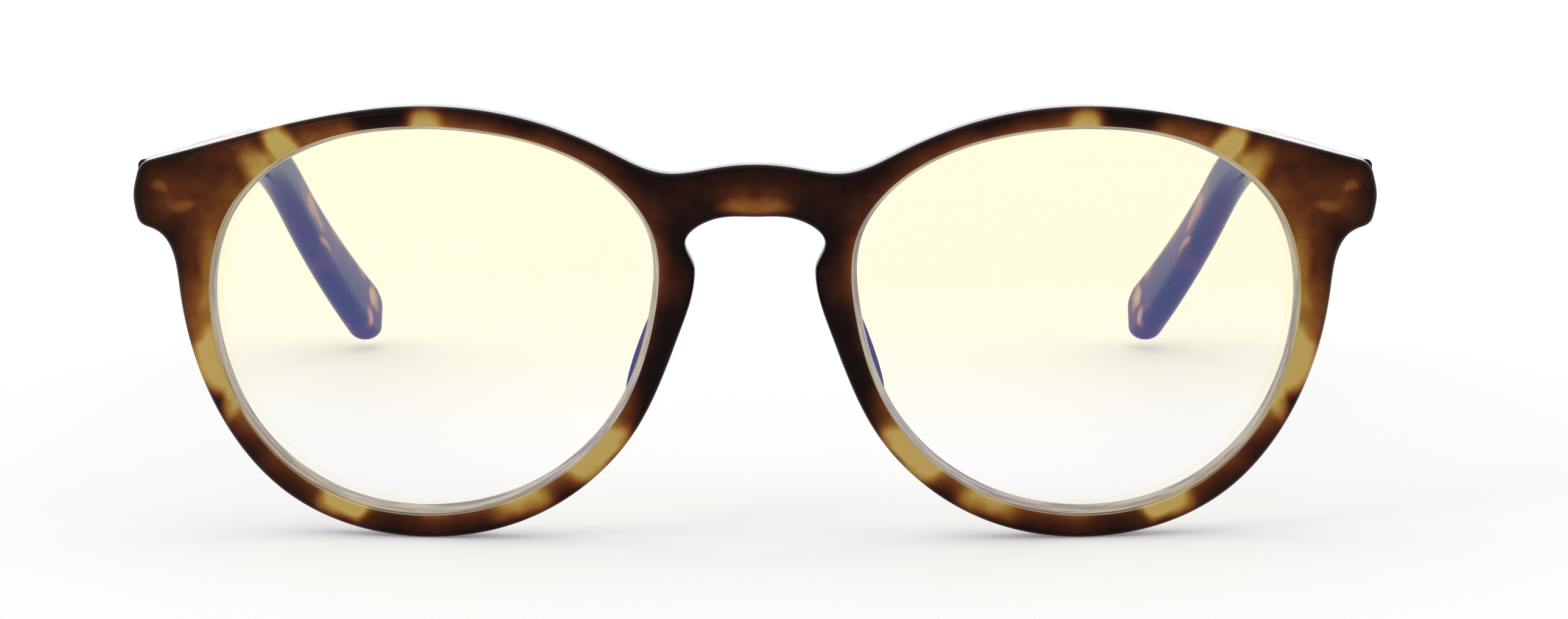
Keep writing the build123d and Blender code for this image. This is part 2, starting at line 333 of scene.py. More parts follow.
def tortoise_colours():
    """A group that turns a tone, from 0, dark, to 1, clear amber, into the colour of acetate."""
    group = bpy.data.node_groups.new("tortoise_colours", "ShaderNodeTree")
    group.interface.new_socket("Tone", in_out="INPUT", socket_type="NodeSocketFloat")
    group.interface.new_socket("Color", in_out="OUTPUT", socket_type="NodeSocketColor")
    inside = group.nodes.new("NodeGroupInput")
    outside = group.nodes.new("NodeGroupOutput")
    ramp = group.nodes.new("ShaderNodeValToRGB")
    ramp.color_ramp.interpolation = "B_SPLINE"
    stops = [
        (0.0, (0.0025, 0.0005, 0.0004)),
        (0.2, (0.022, 0.0045, 0.0018)),
        (0.4, (0.088, 0.019, 0.0045)),
        (0.55, (0.175, 0.050, 0.0085)),
        (0.7, (0.29, 0.118, 0.019)),
        (0.85, (0.40, 0.235, 0.046)),
        (1.0, (0.52, 0.37, 0.11)),
    ]
    elements = ramp.color_ramp.elements
    while len(elements) < len(stops):
        elements.new(0.5)
    for element, (position, colour) in zip(elements, stops):
        element.position = position
        element.color = (*colour, 1)
    group.links.new(inside.outputs[0], ramp.inputs[0])
    group.links.new(ramp.outputs[0], outside.inputs[0])
    return group


COLOURS = tortoise_colours()


class Nodes:
    """Adds shader nodes to a tree in short lines."""

    def __init__(self, tree):
        self.tree = tree

    def add(self, kind, **settings):
        made = self.tree.nodes.new(kind)
        for key, value in settings.items():
            setattr(made, key, value)
        return made

    def link(self, source, target):
        self.tree.links.new(source, target)

    def maths(self, operation, a, b=None, clamp=False):
        made = self.add("ShaderNodeMath", operation=operation, use_clamp=clamp)
        for socket, value in zip(made.inputs, (a, b)):
            if value is None:
                continue
            if isinstance(value, (int, float)):
                socket.default_value = value
            else:
                self.link(value, socket)
        return made.outputs[0]

    def vector(self, operation, a, b=None, scale=None):
        made = self.add("ShaderNodeVectorMath", operation=operation)
        for socket, value in zip(made.inputs, (a, b)):
            if value is None:
                continue
            if isinstance(value, tuple):
                socket.default_value = value
            else:
                self.link(value, socket)
        if scale is not None:
            made.inputs["Scale"].default_value = scale
        return made.outputs["Value" if operation == "LENGTH" else "Vector"]

    def noise(self, vector, scale, detail=3.0, rough=0.5, colour=False):
        made = self.add("ShaderNodeTexNoise")
        made.inputs["Scale"].default_value = scale
        made.inputs["Detail"].default_value = detail
        made.inputs["Roughness"].default_value = rough
        self.link(vector, made.inputs["Vector"])
        return made.outputs["Color" if colour else 0]

    def remap(self, value, low, high, to_low=0.0, to_high=1.0, smooth=True):
        made = self.add("ShaderNodeMapRange")
        made.interpolation_type = "SMOOTHSTEP" if smooth else "LINEAR"
        self.link(value, made.inputs["Value"])
        for name, number in (
            ("From Min", low), ("From Max", high), ("To Min", to_low), ("To Max", to_high),
        ):
            made.inputs[name].default_value = number
        return made.outputs["Result"]


def millimetres(nodes, mirrored):
    """The place on the object in millimetres, with the left half repeated on the right."""
    place = nodes.add("ShaderNodeTexCoord").outputs["Object"]
    place = nodes.vector("SCALE", place, scale=1 / MM)
    if not mirrored:
        return place
    parts = nodes.add("ShaderNodeSeparateXYZ")
    nodes.link(place, parts.inputs[0])
    joined = nodes.add("ShaderNodeCombineXYZ")
    nodes.link(nodes.maths("ABSOLUTE", parts.outputs["X"]), joined.inputs["X"])
    nodes.link(parts.outputs["Y"], joined.inputs["Y"])
    nodes.link(parts.outputs["Z"], joined.inputs["Z"])
    return joined.outputs[0]


def polished(material, tone, nodes, place, shine):
    """Finishes a tortoiseshell material: its colour, its gloss and the faint marks of tumbling."""
    shader = material.node_tree.nodes["Principled BSDF"]
    colours = nodes.add("ShaderNodeGroup", node_tree=COLOURS)
    nodes.link(tone, colours.inputs["Tone"])
    nodes.link(colours.outputs["Color"], shader.inputs["Base Color"])
    smear = nodes.noise(place, 0.35, 2)
    nodes.link(nodes.remap(smear, 0.3, 0.7, 0.10, 0.17), shader.inputs["Roughness"])
    shader.inputs["IOR"].default_value = 1.48
    shader.inputs["Specular IOR Level"].default_value = shine
    bump = nodes.add("ShaderNodeBump")
    bump.inputs["Strength"].default_value = 0.05
    bump.inputs["Distance"].default_value = 0.00003
    nodes.link(nodes.noise(place, 0.8, 2), bump.inputs["Height"])
    nodes.link(bump.outputs["Normal"], shader.inputs["Normal"])


# The cloudy patches of the front: x and z of the middle, half-width, half-height, tilt in
# degrees, and how much lighter or darker the patch is
FRONT_PATCHES = [
    (52.6, 44.0, 1.8, 3.6, 32, 0.64),
    (55.0, 41.2, 1.4, 2.6, 40, 0.36),
    (57.2, 38.0, 1.0, 2.6, 38, 0.06),
    (36.0, 46.3, 1.7, 2.2, 0, 0.42),
    (45.0, 45.4, 4.0, 1.1, 10, 0.08),
    (60.5, 27.6, 1.2, 5.0, -6, 0.22),
    (63.0, 25.4, 1.8, 3.4, -4, 0.24),
    (60.2, 19.4, 3.2, 3.6, -20, 0.62),
    (57.8, 15.4, 1.2, 3.0, -24, 0.40),
    (45.6, 4.1, 2.9, 2.3, -20, 0.60),
    (43.9, 2.8, 1.2, 1.8, 0, 0.36),
    (49.4, 6.9, 2.4, 0.8, -36, 0.20),
    (34.2, 3.8, 3.0, 0.7, 0, 0.16),
    (25.2, 3.9, 3.4, 1.6, 20, 0.42),
    (20.4, 8.4, 2.2, 0.9, 36, 0.26),
    (18.2, 8.4, 2.8, 2.4, 42, 0.58),
    (15.9, 11.4, 2.4, 2.2, 60, 0.56),
    (0.0, 37.2, 3.2, 1.1, 0, 0.34),
    (65.9, 38.2, 0.9, 0.8, 10, 0.22),
    (63.6, 36.4, 1.9, 0.7, 8, 0.18),
    (41.2, 46.9, 3.4, 2.4, -8, -0.44),
    (31.6, 47.2, 3.2, 1.6, 8, -0.14),
    (26.4, 46.2, 2.6, 1.8, -14, -0.16),
    (16.5, 42.6, 7.0, 2.6, -24, -0.16),
    (63.6, 41.4, 5.5, 1.8, -14, -0.10),
    (62.8, 33.4, 2.6, 2.4, 0, -0.10),
    (60.6, 14.0, 2.4, 1.9, 30, -0.28),
    (52.2, 8.4, 5.2, 2.6, -48, -0.18),
    (56.3, 10.6, 2.4, 2.0, -40, -0.12),
    (40.2, 2.2, 3.0, 2.8, -4, -0.24),
    (31.5, 1.4, 4.5, 1.6, 6, -0.12),
    (20.0, 5.6, 2.6, 1.2, 36, -0.04),
    (10.8, 19.8, 3.4, 7.6, 14, -0.38),
    (8.6, 28.6, 3.0, 6.4, 4, -0.30),
    (8.8, 36.4, 5.5, 4.4, 0, -0.22),
    (0.0, 41.0, 9.0, 1.8, 0, -0.14),
]

front_acetate = bpy.data.materials.new("front_acetate")
front_acetate.use_nodes = True
nodes = Nodes(front_acetate.node_tree)
place = millimetres(nodes, mirrored=True)
drift = nodes.vector("SUBTRACT", nodes.noise(place, 0.2, 1.5, 0.5, colour=True), (0.5, 0.5, 0.5))
blurred = nodes.vector("ADD", place, nodes.vector("SCALE", drift, scale=3.0))
cloud = nodes.noise(place, 0.13, 3, 0.5)
tone = nodes.remap(cloud, 0.34, 0.66, 0.27, 0.50, smooth=False)
for x, z, half_width, half_height, tilt, strength in FRONT_PATCHES:
    mapping = nodes.add("ShaderNodeMapping", vector_type="TEXTURE")
    mapping.inputs["Location"].default_value = (x, 0, z)
    mapping.inputs["Rotation"].default_value = (0, math.radians(tilt), 0)
    mapping.inputs["Scale"].default_value = (half_width, 1000, half_height)
    nodes.link(blurred, mapping.inputs["Vector"])
    distance = nodes.vector("LENGTH", mapping.outputs[0])
    tone = nodes.maths("ADD", tone, nodes.remap(distance, 1.45, 0.4, 0, strength))
grain = nodes.noise(place, 1.1, 2)
tone = nodes.maths("ADD", tone, nodes.remap(grain, 0.3, 0.7, -0.02, 0.02, smooth=False))
# Painted shade: the tone darkens by up to 0.14 within 0.9 mm of the outer outline. It stands in for the
# dark edge that light bending through the acetate gives.
edge = nodes.add("ShaderNodeAttribute", attribute_name="edge_shade_distance")
tone = nodes.maths("ADD", tone, nodes.remap(edge.outputs["Fac"], 0.0, 0.9, -0.14, 0.0))
share = nodes.add("ShaderNodeAttribute", attribute_name="share_across")
tone = nodes.maths(
    "ADD", tone, nodes.remap(share.outputs["Fac"], 0, 1, -0.17, 0.21, smooth=False), True
)
polished(front_acetate, tone, nodes, place, 0.07)


def front_mesh():
    """Both faces, the rounded edges and the grooved openings of the front as one closed skin."""
    outer = front_outline(0.34)
    eyes = [eye_outline(side, 0.34) for side in SIDES.values()]
    everything = np.vstack([outer] + eyes)
    # The outline runs clockwise, so its left side is outside it
    into_outer = -side_normals(outer)
    into_rims = [side_normals(eye) for eye in eyes]
    skin = Skin()
    turns = np.radians([0, 15, 30, 45, 60, 75, 90])

    def crown(p):
        d = nearest(p, everything)
        return CROWN * (1 - np.clip(d / CROWN_WIDTH, 0, 1)) ** 2

    def front_row(loop, normals, radius, turn):
        p = loop + normals * radius * (1 - math.cos(turn))
        y = sheet_y(p[:, 0]) + crown(p) + radius * (1 - math.sin(turn))
        return skin.row(np.column_stack([p[:, 0], y, p[:, 1]]))

    def back_row(loop, normals, radius, turn):
        p = loop + normals * radius * (1 - math.cos(turn))
        y = back_y(p[:, 0], p[:, 1]) - radius * (1 - math.sin(turn))
        return skin.row(np.column_stack([p[:, 0], y, p[:, 1]]))

    def wall_row(loop, normals, outset, y):
        p = loop + normals * outset
        return skin.row(np.column_stack([p[:, 0], y, p[:, 1]]))

    inner_front, inner_back = [], []
    for loop, normals, radius in [(outer, into_outer, OUTER_ROUND)] + [
        (eye, rim, EYE_ROUND) for eye, rim in zip(eyes, into_rims)
    ]:
        fronts = [front_row(loop, normals, radius, turn) for turn in turns]
        backs = [back_row(loop, normals, radius, turn) for turn in turns]
        for rows in (fronts, backs):
            for a, b in zip(rows, rows[1:]):
                skin.strip(a, b)
        top = sheet_y(loop[:, 0]) + crown(loop) + radius
        foot = back_y(loop[:, 0], loop[:, 1]) - radius
        walls = [fronts[0]]
        if loop is outer:
            for share in (0.25, 0.5, 0.75):
                walls.append(wall_row(loop, normals, 0, top + share * (foot - top)))
        else:
            seat = lens_y(loop[:, 0], loop[:, 1], LENS_SETBACK)
            for outset, depth in (
                (0, -0.06), (0.02, 0), (GROOVE - 0.02, 0.68), (GROOVE, 0.74), (GROOVE, 0.92),
                (GROOVE - 0.02, 0.98), (0.02, 1.66), (0, 1.72),
            ):
                walls.append(wall_row(loop, normals, outset, seat + depth))
        walls.append(backs[0])
        for a, b in zip(walls, walls[1:]):
            skin.strip(a, b)
        inner_front.append((fronts[-1], loop + normals * radius))
        inner_back.append((backs[-1], loop + normals * radius))
    for rows, height in (
        (inner_front, lambda p: sheet_y(p[:, 0]) + crown(p)),
        (inner_back, lambda p: back_y(p[:, 0], p[:, 1])),
    ):
        points, faces, kept_from = face_core([flat for _, flat in rows])
        known = np.concatenate([row for row, _ in rows])
        index = np.full(len(points), -1)
        for i, sources in enumerate(kept_from):
            for source in sources:
                if source < len(known):
                    index[i] = known[source]
        fresh = np.where(index < 0)[0]
        p = points[fresh]
        index[fresh] = skin.row(np.column_stack([p[:, 0], height(p), p[:, 1]]))
        skin.faces += index[faces].tolist()
    return skin


skin = front_mesh()
points = skin.vertices()
# Each point's distance to the outer outline goes to the material, which uses it to paint shade along the
# edge.
from_rim = nearest(points[:, [0, 2]], front_outline(0.34))
from_eye = nearest(points[:, [0, 2]], np.vstack([eye_outline(side, 0.34) for side in SIDES.values()]))
piece(
    "front", points, skin.faces, [front_acetate], "front", "front_frame",
    {"edge_shade_distance": from_rim, "share_across": from_rim / np.maximum(from_rim + from_eye, 0.01)},
)


# Lenses: plano resin lenses with a faint yellow filter tint and a coat that throws back blue.
# Their edges are ground to a V, which is left frosted, and snap into the groove of the front.
LENS_INSET = 0.65
BEVEL_CLEARANCE = 0.03

lens_coat = bpy.data.materials.new("coated_lens")
lens_coat.use_nodes = True
nodes = Nodes(lens_coat.node_tree)
lens_coat.node_tree.nodes.remove(lens_coat.node_tree.nodes["Principled BSDF"])
place = millimetres(nodes, mirrored=False)
height = nodes.add("ShaderNodeSeparateXYZ")
nodes.link(place, height.inputs[0])
fade = nodes.remap(height.outputs["Z"], 5, 30)
tint = nodes.add("ShaderNodeMix", data_type="RGBA")
tint.inputs["A"].default_value = (0.985, 0.967, 0.88, 1)
tint.inputs["B"].default_value = (0.974, 0.942, 0.728, 1)
nodes.link(fade, tint.inputs["Factor"])
clear = nodes.add("ShaderNodeBsdfTransparent")
nodes.link(tint.outputs["Result"], clear.inputs["Color"])
coat = nodes.add("ShaderNodeBsdfAnisotropic")
coat.inputs["Roughness"].default_value = 0.02
coat.inputs["Color"].default_value = (0.024, 0.036, 0.132, 1)
both = nodes.add("ShaderNodeAddShader")
nodes.link(clear.outputs[0], both.inputs[0])
nodes.link(coat.outputs[0], both.inputs[1])
nodes.link(both.outputs[0], lens_coat.node_tree.nodes["Material Output"].inputs["Surface"])

ground_edge = bpy.data.materials.new("ground_lens_edge")
ground_edge.use_nodes = True
nodes = Nodes(ground_edge.node_tree)
place = millimetres(nodes, mirrored=False)
shader = ground_edge.node_tree.nodes["Principled BSDF"]
around = nodes.add("ShaderNodeAttribute", attribute_name="around_edge").outputs["Vector"]
streaks = nodes.noise(around, 1.0, 4, 0.65)
edge_tone = nodes.add("ShaderNodeMix", data_type="RGBA")
edge_tone.inputs["A"].default_value = (0.33, 0.28, 0.21, 1)
edge_tone.inputs["B"].default_value = (0.66, 0.60, 0.50, 1)
nodes.link(nodes.remap(streaks, 0.36, 0.62), edge_tone.inputs["Factor"])
nodes.link(edge_tone.outputs["Result"], shader.inputs["Base Color"])
shader.inputs["Roughness"].default_value = 0.55
bump = nodes.add("ShaderNodeBump")
bump.inputs["Strength"].default_value = 0.4
bump.inputs["Distance"].default_value = 0.00005
nodes.link(nodes.noise(around, 4.0, 3), bump.inputs["Height"])
nodes.link(bump.outputs["Normal"], shader.inputs["Normal"])


def lens_skin(side):
    """A lens as rings from its middle to the ground edge, with the number of coated faces."""
    eye = eye_outline(side, 0.45)
    out = side_normals(eye)
    centre = np.array((side * EYE_X, EYE_Z))
    skin = Skin()
    back_depth = LENS_SETBACK + LENS_THICKNESS
    back_edge = eye - out * LENS_INSET
    for edge, depth in ((eye, LENS_SETBACK), (back_edge, back_depth)):
        rows = []
        for share in np.linspace(1, 0.04, 26):
            p = centre + (edge - centre) * share
            rows.append(skin.row(np.column_stack([p[:, 0], lens_y(*p.T, depth), p[:, 1]])))
        for a, b in zip(rows, rows[1:]):
            skin.strip(a, b)
        skin.fan(rows[-1], (centre[0], lens_y(*centre, depth), centre[1]))
        if depth == LENS_SETBACK:
            front_edge_row = rows[0]
        else:
            back_edge_row = rows[0]
    coated = len(skin.faces)
    front_y = lens_y(*eye.T, LENS_SETBACK)
    rows = [front_edge_row]
    for outset, depth in (
        (GROOVE - BEVEL_CLEARANCE, 0.72), (GROOVE - BEVEL_CLEARANCE, 0.92),
        (0.0, 1.56), (-0.3, 1.86),
    ):
        p = eye + out * outset
        rows.append(skin.row(np.column_stack([p[:, 0], front_y + depth, p[:, 1]])))
    rows.append(back_edge_row)
    for a, b in zip(rows, rows[1:]):
        skin.strip(a, b)
    return skin, coated


for name, side in SIDES.items():
    skin, coated = lens_skin(side)
    points = skin.vertices()
    across = (points[:, 1] - lens_y(points[:, 0], points[:, 2], LENS_SETBACK)) * 5
    around = np.column_stack([points[:, 0] * 0.14, across, points[:, 2] * 0.14])
    lens = piece(
        f"lens_{name}_ground", points, skin.faces, [lens_coat, ground_edge], "front",
        f"lens_{name}", {"around_edge": around},
    )
    edge_faces = np.zeros(len(skin.faces), np.int32)
    edge_faces[coated:] = 1
    lens.data.polygons.foreach_set("material_index", edge_faces)
    edges = {e.key: e for e in lens.data.edges}
    for face in lens.data.polygons[:]:
        if face.index >= coated:
            for key in face.edge_keys:
                edges[key].use_edge_sharp = True


# Nose pads: small fins of the same acetate, bonded behind the inner side of each rim and
# polished smooth, lower and fuller at the foot than at the top.
PAD_X = 11.0
PAD_Z = 21.2
PAD_LEAN = math.radians(20)
PAD_BASE = (7.6, 1.95)
PAD_TIP = (4.6, 1.0)
PAD_BASE_DEPTH = 3.9
PAD_TIP_DEPTH = 10.8
PAD_TIP_OUT = 0.9
PAD_TIP_DROP = 1.0

pad_acetate = bpy.data.materials.new("pad_acetate")
pad_acetate.use_nodes = True
nodes = Nodes(pad_acetate.node_tree)
place = millimetres(nodes, mirrored=True)
tone = nodes.remap(nodes.noise(place, 0.13, 3, 0.5), 0.3, 0.7, 0.12, 0.42, smooth=False)
polished(pad_acetate, tone, nodes, place, 0.16)


def oval(half_length, half_width, count=56, power=2.4):
    """A full oval, a little squarer than an ellipse, with its length upright."""
    t = np.linspace(0, 2 * math.pi, count, endpoint=False)
    c, s = np.cos(t), np.sin(t)
    x = half_width * np.sign(c) * np.abs(c) ** (2 / power)
    z = half_length * np.sign(s) * np.abs(s) ** (2 / power)
    return np.column_stack([x, z])


for name, side in SIDES.items():
    skin = Skin()
    rows = []
    for share in np.r_[np.linspace(0, 0.8, 14), 0.8 + 0.2 * np.sin(np.linspace(0.15, 1.54, 9))]:
        swell = math.sqrt(max(0.0, 1 - ((share - 0.8) / 0.2) ** 2)) if share > 0.8 else 1.0
        blend = share**0.8
        length = PAD_BASE[0] + (PAD_TIP[0] - PAD_BASE[0]) * blend
        width = PAD_BASE[1] + (PAD_TIP[1] - PAD_BASE[1]) * blend
        ring = oval(length * (0.25 + 0.75 * swell), width * max(swell, 0.05))
        turned = np.column_stack([
            ring[:, 0] * math.cos(PAD_LEAN) - ring[:, 1] * math.sin(PAD_LEAN),
            ring[:, 0] * math.sin(PAD_LEAN) + ring[:, 1] * math.cos(PAD_LEAN),
        ])
        x = PAD_X + PAD_TIP_OUT * share + turned[:, 0]
        z = PAD_Z - PAD_TIP_DROP * share + turned[:, 1]
        y = FRONT_Y + PAD_BASE_DEPTH + (PAD_TIP_DEPTH - PAD_BASE_DEPTH) * share
        rows.append(skin.row(np.column_stack([side * x, np.full(len(x), y), z])))
    for a, b in zip(rows, rows[1:]):
        skin.strip(a, b)
    for row in (rows[0], rows[-1]):
        skin.fan(row, skin.vertices()[row].mean(0))
    piece(
        f"nose_pad_{name}_polished", skin.vertices(), skin.faces, [pad_acetate], "front",
        f"nose_pad_{name}",
    )


# Hinges: cast nickel-silver leaves, plated and tumbled, sunk into the acetate hot. The front
# leaf has three knuckles and the temple leaf two, on a slotted steel screw.
hinge_metal = bpy.data.materials.new("plated_hinge")
hinge_metal.use_nodes = True
nodes = Nodes(hinge_metal.node_tree)
place = millimetres(nodes, mirrored=False)
shader = hinge_metal.node_tree.nodes["Principled BSDF"]
shader.inputs["Metallic"].default_value = 1.0
wear = nodes.noise(place, 2.2, 4, 0.6)
metal_tone = nodes.add("ShaderNodeMix", data_type="RGBA")
metal_tone.inputs["A"].default_value = (0.58, 0.56, 0.52, 1)
metal_tone.inputs["B"].default_value = (0.70, 0.68, 0.63, 1)
nodes.link(nodes.remap(wear, 0.3, 0.65), metal_tone.inputs["Factor"])
nodes.link(metal_tone.outputs["Result"], shader.inputs["Base Color"])
nodes.link(nodes.remap(wear, 0.3, 0.7, 0.34, 0.2), shader.inputs["Roughness"])
bump = nodes.add("ShaderNodeBump")
bump.inputs["Strength"].default_value = 0.25
bump.inputs["Distance"].default_value = 0.00003
nodes.link(nodes.noise(place, 14.0, 2), bump.inputs["Height"])
nodes.link(bump.outputs["Normal"], shader.inputs["Normal"])

screw_steel = bpy.data.materials.new("screw_steel")
screw_steel.use_nodes = True
nodes = Nodes(screw_steel.node_tree)
place = millimetres(nodes, mirrored=False)
shader = screw_steel.node_tree.nodes["Principled BSDF"]
shader.inputs["Metallic"].default_value = 1.0
shader.inputs["Base Color"].default_value = (0.55, 0.55, 0.56, 1)
turning = nodes.add("ShaderNodeMapping")
turning.inputs["Scale"].default_value = (1, 1, 30)
nodes.link(place, turning.inputs["Vector"])
lathe = nodes.noise(turning.outputs[0], 2.0, 2)
nodes.link(nodes.remap(lathe, 0.3, 0.7, 0.18, 0.36), shader.inputs["Roughness"])

HINGE_X = 63.1
HINGE_Y = FRONT_Y + END_BACK + 1.9
HINGE_Z = 37.65
KNUCKLE = {"Knuckle Radius": 1.6, "Knuckle Height": 1.1}
KNUCKLE_PITCH = 1.2
FRONT_LEAF = {
    "Knuckles": 3, "Pitch": 2 * KNUCKLE_PITCH, "Bore": 0.7, "Web Length": 1.86,
    "Plate Thickness": 0.94, "Plate Length": 4.6, "Plate Height": 5.9, "Plate Offset": 0.0,
}
TEMPLE_LEAF = {
    "Knuckles": 2, "Pitch": 2 * KNUCKLE_PITCH, "Bore": 0.74, "Web Length": 1.8,
    "Plate Thickness": 1.0, "Plate Length": 8.4, "Plate Height": 4.9, "Plate Offset": 2.6,
}
LEAF_EDGE = 0.12
SCREW_EDGE = 0.05
SCREW_HEAD_PROUD = 0.06


def leaf_tree():
    """A stack of knuckles round the hinge axis, each on a web that stands on one plate."""
    tree = bpy.data.node_groups.new("hinge_leaf", "GeometryNodeTree")
    for name, kind in (
        ("Knuckles", "Int"), ("Pitch", "Float"), ("Knuckle Radius", "Float"), ("Bore", "Float"),
        ("Knuckle Height", "Float"), ("Web Length", "Float"), ("Plate Thickness", "Float"),
        ("Plate Length", "Float"), ("Plate Offset", "Float"), ("Plate Height", "Float"),
        ("Axis", "Vector"), ("Turn", "Float"),
    ):
        tree.interface.new_socket(name, in_out="INPUT", socket_type=f"NodeSocket{kind}")
    tree.interface.new_socket("Leaf", in_out="OUTPUT", socket_type="NodeSocketGeometry")
    nodes = Nodes(tree)
    given = nodes.add("NodeGroupInput").outputs

    def step(kind, **inputs):
        made = nodes.add(kind)
        for name, value in inputs.items():
            socket = made.inputs[name.replace("_", " ")]
            if isinstance(value, bpy.types.NodeSocket):
                nodes.link(value, socket)
            else:
                socket.default_value = value
        return made.outputs[0]

    def at(x, y, z):
        return step("ShaderNodeCombineXYZ", X=x, Y=y, Z=z)

    def block(length, width, height, x, y):
        cube = step("GeometryNodeMeshCube", Size=at(length, width, height))
        return step("GeometryNodeTransform", Geometry=cube, Translation=at(x, y, 0.0))

    def joined(*shapes):
        join = nodes.add("GeometryNodeJoinGeometry")
        for shape in shapes:
            nodes.link(shape, join.inputs[0])
        return join.outputs[0]

    radius, bore = given["Knuckle Radius"], given["Bore"]
    ring = step(
        "GeometryNodeCurvePrimitiveCircle", Resolution=48,
        Radius=nodes.maths("MULTIPLY", nodes.maths("ADD", radius, bore), 0.5),
    )
    wall = step(
        "GeometryNodeCurvePrimitiveQuadrilateral",
        Width=nodes.maths("SUBTRACT", radius, bore), Height=given["Knuckle Height"],
    )
    barrel = step("GeometryNodeCurveToMesh", Curve=ring, Profile_Curve=wall)
    near = nodes.maths("ADD", bore, 0.05)
    reach = nodes.maths("SUBTRACT", nodes.maths("ADD", given["Web Length"], 0.1), near)
    web = block(
        reach, nodes.maths("MULTIPLY", radius, 2.0), given["Knuckle Height"],
        nodes.maths("ADD", near, nodes.maths("MULTIPLY", reach, 0.5)), 0.0,
    )
    last = nodes.maths("SUBTRACT", given["Knuckles"], 1.0)
    lowest = nodes.maths("MULTIPLY", nodes.maths("MULTIPLY", last, given["Pitch"]), -0.5)
    levels = step(
        "GeometryNodeMeshLine", Count=given["Knuckles"], Start_Location=at(0.0, 0.0, lowest),
        Offset=at(0.0, 0.0, given["Pitch"]),
    )
    stack = step("GeometryNodeInstanceOnPoints", Points=levels, Instance=joined(barrel, web))
    thickness = given["Plate Thickness"]
    plate = block(
        thickness, given["Plate Length"], given["Plate Height"],
        nodes.maths("ADD", given["Web Length"], nodes.maths("MULTIPLY", thickness, 0.5)),
        given["Plate Offset"],
    )
    placed = step(
        "GeometryNodeTransform", Geometry=joined(stack, plate), Translation=given["Axis"],
        Rotation=at(0.0, 0.0, given["Turn"]),
    )
    metres = step("GeometryNodeTransform", Geometry=placed, Scale=(MM, MM, MM))
    real = step("GeometryNodeRealizeInstances", Geometry=metres)
    plated = step("GeometryNodeSetMaterial", Geometry=real, Material=hinge_metal)
    nodes.link(plated, nodes.add("NodeGroupOutput").inputs["Leaf"])
    return tree


LEAF_TREE = leaf_tree()


def rounded_edges(made, width):
    """Takes the sharpness off a metal piece's edges, as tumbling does."""
    for polygon in made.data.polygons:
        polygon.use_smooth = True
    bevel = made.modifiers.new("tumbled", "BEVEL")
    bevel.width = width * MM
    bevel.segments = 2
    bevel.limit_method = "ANGLE"
    bevel.harden_normals = True


def hinge_leaf(name, side, turn, sizes, body, stands_for):
    """One leaf of a hinge, made by the leaf tree and turned about the hinge axis."""
    made = bpy.data.objects.new(name, bpy.data.meshes.new(name))
    bpy.context.scene.collection.objects.link(made)
    shape = made.modifiers.new("leaf", "NODES")
    shape.node_group = LEAF_TREE
    values = KNUCKLE | sizes | {"Axis": (side * HINGE_X, HINGE_Y, HINGE_Z), "Turn": turn}
    for socket in LEAF_TREE.interface.items_tree:
        if socket.in_out == "INPUT":
            shape[socket.identifier] = values[socket.name]
    shaped = made.evaluated_get(bpy.context.evaluated_depsgraph_get())
    mesh = bpy.data.meshes.new_from_object(shaped)
    made.modifiers.remove(shape)
    outward = bmesh.new()
    outward.from_mesh(mesh)
    bmesh.ops.remove_doubles(outward, verts=outward.verts, dist=1e-7)
    bmesh.ops.recalc_face_normals(outward, faces=outward.faces)
    outward.to_mesh(mesh)
    outward.free()
    made.data = mesh
    rounded_edges(made, LEAF_EDGE)
    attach(made, body)
    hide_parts(stands_for)


def hinge_screw(name):
    """A screw from its turned shape, with the head a hair proud of the top knuckle."""
    turned = bmesh.new()
    turned.from_mesh(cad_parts[f"hinge_screw_{name}"].data)
    bmesh.ops.remove_doubles(turned, verts=turned.verts, dist=1e-6)
    top = max(v.co.z for v in turned.verts)
    for v in turned.verts:
        if v.co.z > top - 0.01 * MM:
            v.co.z += SCREW_HEAD_PROUD * MM
    mesh = bpy.data.meshes.new(f"hinge_screw_{name}_turned")
    turned.to_mesh(mesh)
    turned.free()
    mesh.materials.clear()
    mesh.materials.append(screw_steel)
    made = bpy.data.objects.new(mesh.name, mesh)
    bpy.context.scene.collection.objects.link(made)
    rounded_edges(made, SCREW_EDGE)
    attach(made, "front")
    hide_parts(f"hinge_screw_{name}")


for name, side in SIDES.items():
    hinge_leaf(
        f"hinge_front_leaf_{name}_plated", side, -math.pi / 2, FRONT_LEAF, "front",
        f"hinge_front_leaf_{name}",
    )
    hinge_leaf(
        f"hinge_temple_leaf_{name}_plated", side, 0.0 if side > 0 else math.pi,
        TEMPLE_LEAF | {"Plate Offset": side * TEMPLE_LEAF["Plate Offset"]}, f"{name}_arm",
        f"hinge_temple_leaf_{name}",
    )
    hinge_screw(name)
    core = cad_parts[f"temple_core_{name}"]
    core.data.materials.clear()
    core.data.materials.append(screw_steel)


# Temples: arms cut from the same acetate, rounded all along, with a wire core shot in. They slope
# down a little, drop behind the ear, close in on the head, and end in a broad round tip.
TEMPLE_START_Y = FRONT_Y + END_BACK + 0.1
TEMPLE_START_Z = 37.5
TEMPLE_X = 67.0
TEMPLE_SLOPE = math.radians(3.5)
STRAIGHT_LENGTH = 82.6
EAR_RADIUS = 42.0
EAR_DROP = math.radians(33.5)
TEMPLE_LENGTH = 141.9
OUTWARD_BOW = 1.8
INWARD_CURVE = 15.6
TEMPLE_ROUND = 1.95
TIP_ROUND = 3.9
TIP_THICKNESS_ROUND = 1.9
BUTT_ROUND = 0.25
BUTT_CORNER = 0.7
HEIGHT_STATIONS = [0, 25, 55, 85, 110, 138.8]
HALF_HEIGHTS = [3.45, 3.15, 3.0, 3.05, 3.3, 4.5]
